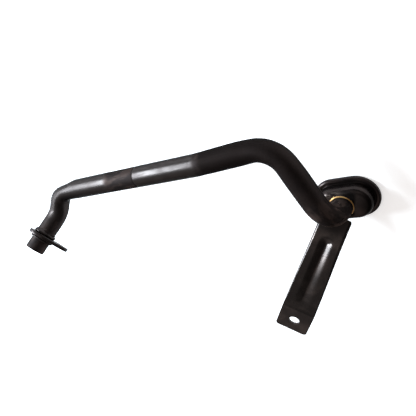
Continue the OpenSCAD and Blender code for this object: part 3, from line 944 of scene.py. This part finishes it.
def makeWeaveNodes():
    group, tree, given = newGroup("wovenScreen", "GeometryNodeTree", {
        "Geometry": "Geometry", "Half Straight": 0.008, "Edge Radius": 0.018, "Pitch": 0.0018,
        "Wire Radius": 0.00026, "Lift": 0.00023, "Centre": (0.0, 0.0, 0.0),
        "Wires Along": 18, "Wires Across": 28, "Finish": "Material",
    }, {"Screen": "Geometry"})
    radiusSquare = tree.math("MULTIPLY", given["Edge Radius"], given["Edge Radius"])

    def place():
        return tree.add("ShaderNodeSeparateXYZ", {0: tree.add("GeometryNodeInputPosition")}).outputs

    # half the length of a wire that runs at a distance from the round end's centre
    def halfChord(distance):
        rest = tree.math("SUBTRACT", radiusSquare, tree.math("MULTIPLY", distance, distance))
        return tree.math("SQRT", tree.math("MAXIMUM", rest, 1e-8))  # never quite nothing

    def wireRow(along):
        count = given["Wires Along" if along else "Wires Across"]
        start = tree.math("MULTIPLY", tree.math("MULTIPLY_ADD", count, -0.5, 0.5), given["Pitch"])
        axis = 1 if along else 0
        begin = tree.add("ShaderNodeCombineXYZ", {axis: start})
        step = tree.add("ShaderNodeCombineXYZ", {axis: given["Pitch"]})
        row = tree.add("GeometryNodeMeshLine", {"Count": count, "Start Location": begin, "Offset": step})
        if along:
            half = tree.math("ADD", given["Half Straight"], halfChord(place()[1]))
            scale = tree.add("ShaderNodeCombineXYZ", {0: half, 1: 1.0, 2: 1.0})
            ends = {"Start": (-1.0, 0.0, 0.0), "End": (1.0, 0.0, 0.0)}
        else:
            past = tree.math("SUBTRACT", tree.math("ABSOLUTE", place()[0]), given["Half Straight"])
            half = halfChord(tree.math("MAXIMUM", past, 0.0))
            scale = tree.add("ShaderNodeCombineXYZ", {0: 1.0, 1: half, 2: 1.0})
            ends = {"Start": (0.0, -1.0, 0.0), "End": (0.0, 1.0, 0.0)}
        line = tree.add("GeometryNodeCurvePrimitiveLine", ends)
        wires = tree.add("GeometryNodeInstanceOnPoints", {"Points": row, "Instance": line, "Scale": scale})
        return tree.add("GeometryNodeRealizeInstances", {"Geometry": wires})

    # the wires lie on half pitches, as their count is even, so their crossings alternate over and under
    def wireSet(along):
        step = tree.math("DIVIDE", given["Pitch"], weave["waveSteps"])
        row = wireRow(along)
        wires = tree.add("GeometryNodeResampleCurve", {"Curve": row, "Length": step}, mode="LENGTH")
        wave = given["Lift"]
        for c in place()[:2]:
            turn = tree.math("DIVIDE", tree.math("MULTIPLY", c, math.pi), given["Pitch"])
            wave = tree.math("MULTIPLY", wave, tree.math("SINE", turn))
        lift = tree.math("MULTIPLY", wave, 1.0 if along else -1.0)
        offset = tree.add("ShaderNodeCombineXYZ", {2: lift})
        wires = tree.add("GeometryNodeSetPosition", {"Geometry": wires, "Offset": offset})
        section = {"Resolution": weave["wireSides"], "Radius": given["Wire Radius"]}
        ring = tree.add("GeometryNodeCurvePrimitiveCircle", section)
        return tree.add("GeometryNodeCurveToMesh", {"Curve": wires, "Profile Curve": ring, "Fill Caps": True})

    both = tree.join([wireSet(True), wireSet(False)])
    moved = tree.add("GeometryNodeTransform", {"Geometry": both, "Translation": given["Centre"]})
    tree.finish("Screen", moved, given["Finish"])
    return group


def makeScreen():
    material = steelMaterial("screenWire", screenFinish)
    piece = meshObject("strainerScreen", [(0, 0, 0)], [])
    edgeRadius = rimEdge - weave["inset"]
    pitch = weave["pitch"]
    centre = cupCentre + np.array([0.0, 0.0, -cup["height"] - strainer["screen"] / 2])
    addNodes(piece, makeWeaveNodes(), {
        "Half Straight": halfStraight * mm, "Edge Radius": edgeRadius * mm, "Pitch": pitch * mm,
        "Wire Radius": weave["wireRadius"] * mm, "Lift": weave["lift"] * mm,
        "Centre": [float(c) * mm for c in centre],
        "Wires Along": 2 * int(edgeRadius / pitch + 0.5),
        "Wires Across": 2 * int((edgeRadius + halfStraight) / pitch + 0.5),
        "Finish": material})
    makePlain(piece)
    dress(piece, material, "strainer_screen", smooth=60.0)


makeScreen()


# Braze ring: a fillet of brass run round the tube where it enters the cup
braze = {"radius": 0.75, "sink": 0.7, "wander": 0.16, "steps": 96, "inset": 0.25, "rise": 1.05,
         "spread": 1.32, "arcSteps": 12, "arcPowers": (0.9, 0.8), "drop": 0.05, "footDrop": 0.1,
         "footIn": 0.97, "waves": (2, 3, 5, 8, 13), "waveSum": 2.5, "seed": 7}
brazeFinish = {"bright": rgb(0.75, 0.47, 0.19), "dull": rgb(0.55, 0.32, 0.12),
               "soot": rgb(0.06, 0.035, 0.018), "patchScale": 160.0, "grainScale": 900.0,
               "dullPeak": (0.35, 0.65), "sootPeak": (0.58, 0.75),
               "sootShare": 0.6, "rough": (0.26, 0.25), "metal": 0.85, "bump": 0.2}


def makeBrazeBrass():
    finish = brazeFinish
    material, tree, shader = startMaterial("brazeBrass")
    place = tree.objectPlace()
    patch = tree.noise(place, finish["patchScale"], detail=4.0, Distortion=0.5)
    grain = tree.noise(place, finish["grainScale"], detail=3.0)
    color = tree.blendColor(tree.spread(patch, *finish["dullPeak"]), finish["bright"], finish["dull"])
    soot = tree.math("MULTIPLY", tree.spread(grain, *finish["sootPeak"]), finish["sootShare"])
    tree.feed(shader.inputs["Base Color"], tree.blendColor(soot, color, finish["soot"]))
    least, gain = finish["rough"]
    tree.feed(shader.inputs["Roughness"], tree.math("MULTIPLY_ADD", grain, gain, least))
    tree.feed(shader.inputs["Metallic"], tree.math("SUBTRACT", finish["metal"], soot))
    setBump(tree, shader, grain, finish["bump"])
    return material


# (radius, height) round the fillet's section, for a size about 1
def brazeSection(size):
    inside, r = tube["radius"] - braze["inset"], braze["radius"]
    top, foot = braze["rise"] * r * size, braze["spread"] * r * size
    outPower, topPower = braze["arcPowers"]
    section = [(inside, -braze["sink"]), (inside, top)]
    for a in turnSteps(math.pi / 2, braze["arcSteps"])[1:-1]:
        z = top * math.cos(a) ** topPower - braze["drop"]
        section.append((inside + foot * math.sin(a) ** outPower, z))
    return section + [(inside + foot, -braze["footDrop"]), (inside + foot * braze["footIn"], -braze["sink"])]


def makeBrazeRing():
    rng = np.random.default_rng(braze["seed"])
    waves = [(n, rng.uniform(0.3, 1.0) / n ** 0.5, rng.uniform(0, 2 * math.pi)) for n in braze["waves"]]
    rings = []
    for t in turnSteps(2 * math.pi, braze["steps"])[:-1]:
        wander = sum(g * math.sin(n * t + p) for n, g, p in waves) / braze["waveSum"]
        out = np.array([math.cos(t), math.sin(t), 0.0])
        section = brazeSection(1.0 + braze["wander"] * wander)
        rings.append([cupTop + out * radius + zUp * z for radius, z in section])
    piece = ringsObject("cupBrazeRing", rings, ringFaces(rings, closed=True))
    facesOutward(piece)
    dress(piece, makeBrazeBrass(), "cup_braze_ring", smooth=55.0)


makeBrazeRing()


# Support bracket: one folded strip with a pressed groove, a saddle cut to the tube and a bolt hole
bracket = {
    "width": 25.0, "thick": 2.0, "holeRadius": 4.5, "foldBack": 13.5, "foldRadius": 3.0, "footOut": 13.0,
    "footCorner": 3.0, "footWiden": 1.19, "flareSpan": (-1.0, 75.0),
    "saddleBack": 5.0, "saddleRise": 6.8, "hornCorner": 2.2, "saddleGap": 0.03,
    "castBack": 24.0, "castLift": 0.02, "seamLeast": 0.01,
    "grooveWidth": 11.0, "grooveDepth": 3.4, "grooveOutDepth": 1.5, "grooveBottom": 0.5, "grooveFade": 1.4,
    "grooveStart": 25.0, "grooveEnd": 5.0, "grooveEase": 0.5, "grooveEdge": (-2.5, 0.5),
    "edgeRoll": 2.6, "edgeRollEnd": 0.9, "edgeLean": 1.2, "rollSpan": (0.2, 0.75), "rollStart": 9.0,
    "columns": 28, "edgeZone": 3.0, "edgeColumns": 10, "rowStep": 1.1, "foldSteps": 8,
    "sideSteps": 14, "cornerSteps": 8, "endSteps": 24, "holeLayers": 6,
    "rollOver": 0.45, "rollOverSteps": 5, "edge": 0.25, "edgeSteps": 2, "edgeAngle": 60.0, "edgeFacing": 0.3,
}
# painted shade beside the saddle, where the tube overhangs the strip
bracketFinish = {
    **blackened, "dark": rgb(0.0310, 0.0268, 0.0255), "brown": rgb(0.062, 0.0510, 0.0470),
    "patch": 24.0, "grain": 0.9, "rough": 0.22, "spread": 0.06, "bump": 0.12,
    # painted shade under the tube, darkening the strip near the saddle
    "paintedShade": {"centre": (45.0, 64.0, -47.0), "reach": (16.0, 16.0, 13.0), "share": 0.85,
              "color": rgb(0.011, 0.009, 0.0085)},
}
outDir = planDir(seat["azimuth"])
sideDir = np.cross(zUp, outDir)
foldX = seat["reach"] - bracket["foldBack"]
footX = seat["reach"] + bracket["footOut"]
saddleZ = -tube["stubDrop"] + bracket["saddleRise"]
slope = math.atan2(seat["rise"] - saddleZ, foldX - bracket["saddleBack"])
slopeLength = (foldX - bracket["saddleBack"]) / math.cos(slope)
foldSet = (bracket["foldRadius"] + bracket["thick"]) * math.tan(slope / 2)
slopeDown = -math.cos(slope) * outDir - math.sin(slope) * zUp
slopeNormal = -math.sin(slope) * outDir + math.cos(slope) * zUp


def onBracket(x, y, z):
    return dropTop + outDir * x + sideDir * y + zUp * z


# how much wider the strip is than its plain width, by distance from the fold line
def flare(t):
    return 1.0 + 2 * bracket["footWiden"] / bracket["width"] * (1.0 - smoothStep(t, *bracket["flareSpan"]))


# how far the groove is pressed in: V-shaped flanks over a round bottom, shallower towards the fold
def groovePress(t, y):
    half, bottom, ease = bracket["grooveWidth"] / 2, bracket["grooveBottom"], bracket["grooveEase"]
    start, stop = bracket["grooveEnd"] + half, slopeLength - bracket["grooveStart"]
    along = min(max(t, start), stop)
    away = math.hypot(t - along, y)
    share = (along - start) / (stop - start)
    deep = 1.0 - (1.0 - share) ** bracket["grooveFade"]
    deepest = bracket["grooveOutDepth"] + (bracket["grooveDepth"] - bracket["grooveOutDepth"]) * deep
    fall = (math.hypot(away, bottom) - bottom) / (math.hypot(half, bottom) - bottom)
    trough = deepest * (1.0 - fall)
    return 0.5 * (trough + math.hypot(trough, ease)) * fade(-away, -half, bracket["grooveEdge"])


# how far the strip's long edges are rolled down, more towards the saddle
def edgePress(t, y):
    first, last = bracket["rollSpan"]
    share = smoothStep(t, first * slopeLength, last * slopeLength)
    wide = bracket["edgeRollEnd"] + (bracket["edgeRoll"] - bracket["edgeRollEnd"]) * share
    wide *= fade(t, foldSet, (0.0, bracket["rollStart"])) + 1e-6  # never nothing, as it divides below
    past = max(0.0, abs(y) - (bracket["width"] / 2 - wide))
    return bracket["edgeLean"] * past * past / (2.0 * wide)


# a point of the slope's upper face, t from the fold line and y across, widened by the flare
def onSlope(t, y, wide=1.0):
    corner = onBracket(foldX, 0.0, seat["rise"])
    press = groovePress(t, y * wide) + edgePress(t, y)
    return corner + slopeDown * t + sideDir * (y * wide) - slopeNormal * press


# where a column of the strip would end without the tube: the horns have round corners
def hornEnd(y):
    radius = bracket["hornCorner"]
    past = max(0.0, abs(y) - (bracket["width"] / 2 - radius))
    return slopeLength - (radius - math.sqrt(max(0.0, radius * radius - past * past)))


# columns across the strip, closer together in the rolled edges
def stripColumns():
    half = bracket["width"] / 2
    flat = half - bracket["edgeZone"]
    outer = np.linspace(flat, half, bracket["edgeColumns"] + 1)[1:]
    middle = np.linspace(-flat, flat, bracket["columns"] + 1)
    return [float(y) for y in np.concatenate([-outer[::-1], middle, outer])]


# where each column ends: at its horn, or where it meets the tube
def saddleEnds(across):
    skin = suctionTube.data
    skin.calc_loop_triangles()
    triangles = [tuple(t.vertices) for t in skin.loop_triangles]
    tubeTree = BVHTree.FromPolygons([v.co for v in skin.vertices], triangles)
    start = slopeLength - bracket["castBack"]
    ends = []
    for y in across:
        end = hornEnd(y)
        origin = Vector(onSlope(start, y) * mm) + Vector(slopeNormal) * bracket["castLift"] * mm
        hit = tubeTree.ray_cast(origin, Vector(slopeDown))
        if hit[0] is not None:
            end = min(end, start + hit[3] / mm - bracket["saddleGap"])
        ends.append(end)
    return ends


# rows of points over the fold and down the slope to the saddle
def stripRows(across, ends):
    outerRadius = bracket["foldRadius"] + bracket["thick"]
    x, z = foldX + foldSet, seat["rise"] - outerRadius
    rows = []
    for k, a in enumerate(turnSteps(slope, bracket["foldSteps"])):
        wide = flare(foldSet * (2.0 * k / bracket["foldSteps"] - 1.0))
        rows.append([onBracket(x - outerRadius * math.sin(a), y * wide, z + outerRadius * math.cos(a))
                     for y in across])
    count = int(slopeLength / bracket["rowStep"])
    for k in range(1, count + 1):
        places = [foldSet + (end - foldSet) * k / count for end in ends]
        rows.append([onSlope(t, y, flare(t)) for y, t in zip(across, places)])
    return rows


# (x, y) round the foot, from the fold's first row along its sides and round its corners
def footOutline(across):
    wide = flare(-foldSet)
    half, corner = bracket["width"] / 2 * wide, bracket["footCorner"]
    startX, endX = foldX + foldSet, footX - corner
    sideSteps, endSteps = bracket["sideSteps"], bracket["endSteps"]
    cornerTurn = turnSteps(math.pi / 2, bracket["cornerSteps"])[1:]
    outline = [(startX, y * wide) for y in across]
    outline += [(startX + (endX - startX) * k / sideSteps, half) for k in range(1, sideSteps + 1)]
    outline += [(endX + corner * math.sin(a), half - corner + corner * math.cos(a)) for a in cornerTurn]
    outline += [(footX, (half - corner) * (1.0 - 2.0 * k / endSteps)) for k in range(1, endSteps + 1)]
    outline += [(endX + corner * math.cos(a), -half + corner - corner * math.sin(a)) for a in cornerTurn]
    outline += [(endX + (startX - endX) * k / sideSteps, -half) for k in range(1, sideSteps)]
    return outline


# foot: a fan of quads between the bolt hole and the outline, on the fold's first row of points
def addFoot(across, points, faces):
    outline = footOutline(across)
    previous = list(range(len(across)))
    for x, y in outline[len(across):]:
        previous.append(len(points))
        points.append(onBracket(x, y, seat["rise"]))
    holeX, holeRadius = seat["reach"], bracket["holeRadius"]
    for layer in range(1, bracket["holeLayers"] + 1):
        t = layer / bracket["holeLayers"]
        ring = []
        for x, y in outline:
            a = math.atan2(y, x - holeX)
            rimX, rimY = holeX + holeRadius * math.cos(a), holeRadius * math.sin(a)
            ring.append(len(points))
            points.append(onBracket(x + (rimX - x) * t, y + (rimY - y) * t, seat["rise"]))
        for k in range(len(outline)):
            j = (k + 1) % len(outline)
            faces.append((previous[k], previous[j], ring[j], ring[k]))
        previous = ring


# the press rolls the upper edges over, and leaves the lower ones nearly square
def rollEdges(piece):
    def rollSide(shape, sign, width, segments):
        sharp = []
        for edge in shape.edges:
            if len(edge.link_faces) == 2 and edge.calc_face_angle() > math.radians(bracket["edgeAngle"]):
                up = max((f.normal.z for f in edge.link_faces), key=abs)
                if sign * up > bracket["edgeFacing"]:
                    sharp.append(edge)
        bmesh.ops.bevel(shape, geom=sharp, offset=width * mm, offset_type="OFFSET", segments=segments,
                        profile=0.5, affect="EDGES", clamp_overlap=True)

    reshape(piece, lambda shape: rollSide(shape, 1, bracket["rollOver"], bracket["rollOverSteps"]))
    reshape(piece, lambda shape: rollSide(shape, -1, bracket["edge"], bracket["edgeSteps"]))


def makeBracket():
    across = stripColumns()
    ends = saddleEnds(across)
    rows = stripRows(across, ends)
    points = [p for row in rows for p in row]
    width = len(across)
    faces = []
    for i in range(len(rows) - 1):
        for a in range(i * width, (i + 1) * width - 1):
            faces.append((a, a + 1, a + width + 1, a + width))
    addFoot(across, points, faces)
    piece = meshObject("supportBracket", points, faces)
    facesOutward(piece)
    sheetUp(piece)
    sheetThickness(piece, bracket["thick"])
    makePlain(piece)
    rollEdges(piece)
    material = steelMaterial("bracketSteel", bracketFinish)
    dress(piece, material, "support_bracket", smooth=38.0)
    return [(y, end) for y, end in zip(across, ends) if end < hornEnd(y) - bracket["seamLeast"]]


saddleSeam = makeBracket()


# Weld: rippled beads made by nodes along the saddle, over and under the sheet
weld = {"radius": 1.25, "ripple": 0.12, "rippleLength": 1.5, "sides": 14, "seed": 3, "lift": 0.15,
        "underBack": 1.0, "rippleSteps": 6.0, "lumpScale": 420.0, "lump": (0.75, 0.5), "seedStep": 1.7,
        "tip": 0.02, "taper": 0.28}
weldFinish = {**blackened, "dark": rgb(0.030, 0.0240, 0.0220), "brown": rgb(0.060, 0.0440, 0.0380),
              "patch": 5.0, "grain": 0.6, "fleck": 0.25, "rough": 0.42, "spread": 0.15, "bump": 0.25}


def makeWeldNodes():
    group, tree, given = newGroup("weldBead", "GeometryNodeTree", {
        "Seam": "Geometry", "Bead Radius": 0.0012, "Ripple": 0.12, "Ripple Length": 0.0015,
        "Sides": 14, "Seed": 3, "Finish": "Material",
    }, {"Bead": "Geometry"})
    curve = tree.add("GeometryNodeMeshToCurve", {"Mesh": given["Seam"]})
    step = tree.math("DIVIDE", given["Ripple Length"], weld["rippleSteps"])
    curve = tree.add("GeometryNodeResampleCurve", {"Curve": curve, "Length": step}, mode="LENGTH")
    along = tree.add("GeometryNodeSplineParameter").outputs
    turn = tree.math("MULTIPLY", along["Length"], 2 * math.pi)
    wave = tree.math("SINE", tree.math("DIVIDE", turn, given["Ripple Length"]))
    lump = tree.add("ShaderNodeTexNoise", {
        "Vector": tree.add("GeometryNodeInputPosition"), "Scale": weld["lumpScale"],
        "W": tree.math("MULTIPLY", given["Seed"], weld["seedStep"])}, noise_dimensions="4D").outputs[0]
    left = tree.math("SUBTRACT", 1.0, along["Factor"])
    ends = tree.math("MULTIPLY", tree.math("MULTIPLY", along["Factor"], left), 4.0)
    taper = tree.math("POWER", tree.math("MAXIMUM", ends, weld["tip"]), weld["taper"])
    least, gain = weld["lump"]
    size = tree.math("MULTIPLY_ADD", wave, given["Ripple"], tree.math("MULTIPLY_ADD", lump, gain, least))
    size = tree.math("MULTIPLY", tree.math("MULTIPLY", size, taper), given["Bead Radius"])
    ring = tree.add("GeometryNodeCurvePrimitiveCircle", {"Resolution": given["Sides"], "Radius": 1.0})
    bead = tree.add("GeometryNodeCurveToMesh",
                    {"Curve": curve, "Profile Curve": ring, "Scale": size, "Fill Caps": True})
    tree.finish("Bead", bead, given["Finish"])
    return group


def makeWeld():
    material = steelMaterial("weldSteel", weldFinish)
    points, edges = [], []
    for depth, setBack in ((weld["lift"], 0.0), (-bracket["thick"] - weld["lift"], weld["underBack"])):
        start = len(points)
        for y, end in saddleSeam:
            points.append(onSlope(end, y) + slopeNormal * depth - outDir * setBack)
        edges += [(i, i + 1) for i in range(start, len(points) - 1)]
    piece = meshObject("bracketWeld", points, [], edges)
    addNodes(piece, makeWeldNodes(), {
        "Bead Radius": weld["radius"] * mm, "Ripple": weld["ripple"],
        "Ripple Length": weld["rippleLength"] * mm, "Sides": weld["sides"], "Seed": weld["seed"],
        "Finish": material})
    makePlain(piece)
    facesOutward(piece)
    dress(piece, material, "bracket_weld", smooth=60.0)


makeWeld()


# Studio: a white floor, a world brighter on the spigot's side, a tall soft light there and a weak low one
studio = {
    "floorSize": 8.0, "floorDrop": 0.6, "floorGlow": 0.58, "floorColor": rgb(0.85, 0.85, 0.85),
    "floorRough": 0.9, "floorGloss": 0.1, "lampColor": (0.79, 0.91, 1.0),
    "world": {"color": rgb(1.0, 0.895, 0.85), "bright": 0.68, "dim": 0.15, "toward": (-0.8, 0.1, 0.6),
              "brightSpan": (0.0, 0.95), "overhead": 0.6, "overheadSpan": (0.9, 1.0),
              "glow": 0.3, "glowToward": (0.42, 0.52, 0.74), "glowSpan": (0.92, 0.99)},
    "key": {"aim": (-70.0, 110.0, -30.0), "toward": (-0.692, 0.495, 0.525), "distance": 1.13,
            "size": (0.24, 0.7), "power": 36.0},
    "side": {"aim": (-150.0, 130.0, -20.0), "toward": (-0.96, 0.23, 0.15), "distance": 1.0,
             "size": (0.3, 0.4), "power": 7.0},
}


def makeFloor():
    size = studio["floorSize"] / 2 / mm
    z = cadLow.z / mm - studio["floorDrop"]
    corners = [(-size, -size, z), (size, -size, z), (size, size, z), (-size, size, z)]
    floor = meshObject("floor", corners, [(0, 1, 2, 3)])
    material, tree, shader = startMaterial("floorWhite")
    shader.inputs["Base Color"].default_value = studio["floorColor"]
    shader.inputs["Roughness"].default_value = studio["floorRough"]
    shader.inputs["Specular IOR Level"].default_value = studio["floorGloss"]
    # the floor shows white to the camera and in reflections, and still takes the shadow
    rays = tree.add("ShaderNodeLightPath").outputs
    seen = tree.math("MAXIMUM", rays["Is Glossy Ray"], rays["Is Transmission Ray"])
    seen = tree.math("MAXIMUM", rays["Is Camera Ray"], seen)
    glow = tree.blendColor(seen, rgb(0.0, 0.0, 0.0), rgb(1.0, 1.0, 1.0))
    tree.feed(shader.inputs["Emission Color"], glow)
    shader.inputs["Emission Strength"].default_value = studio["floorGlow"]
    floor.data.materials.append(material)


def makeWorld():
    sky = studio["world"]
    world = bpy.data.worlds.new("studioWorld")
    scene.world = world
    world.use_nodes = True
    tree = Tree(world.node_tree)
    back = world.node_tree.nodes["Background"]
    look = tree.add("ShaderNodeTexCoord").outputs["Generated"]

    def facing(direction):
        return tree.vector("DOT_PRODUCT", look, [float(c) for c in unit(direction)])

    level = tree.spread(facing(sky["toward"]), *sky["brightSpan"], sky["dim"], sky["bright"])
    height = tree.add("ShaderNodeSeparateXYZ", {0: look}).outputs[2]
    overhead = tree.spread(height, *sky["overheadSpan"], 1.0, 1.0 - sky["overhead"])
    level = tree.math("MULTIPLY", level, overhead)
    # a second, fainter glow above the bracket
    glow = tree.spread(facing(sky["glowToward"]), *sky["glowSpan"], 0.0, sky["glow"])
    back.inputs["Color"].default_value = sky["color"]
    tree.feed(back.inputs["Strength"], tree.math("ADD", level, glow))


def makeLight(name, lamp):
    data = bpy.data.lights.new(name, "AREA")
    data.shape = "RECTANGLE"
    data.size, data.size_y = lamp["size"]
    data.energy = lamp["power"]
    data.color = studio["lampColor"]
    light = addObject(name, data)
    toward = unit(lamp["toward"])
    side = unit(np.cross(planDir(0.0), toward))
    place = Vector(lamp["aim"]) * mm + Vector(toward) * lamp["distance"]
    light.matrix_world = poseOf(np.cross(side, toward), side, toward, place)


makeFloor()
makeWorld()
makeLight("keyLight", studio["key"])
makeLight("sideLight", studio["side"])
print("studio set")
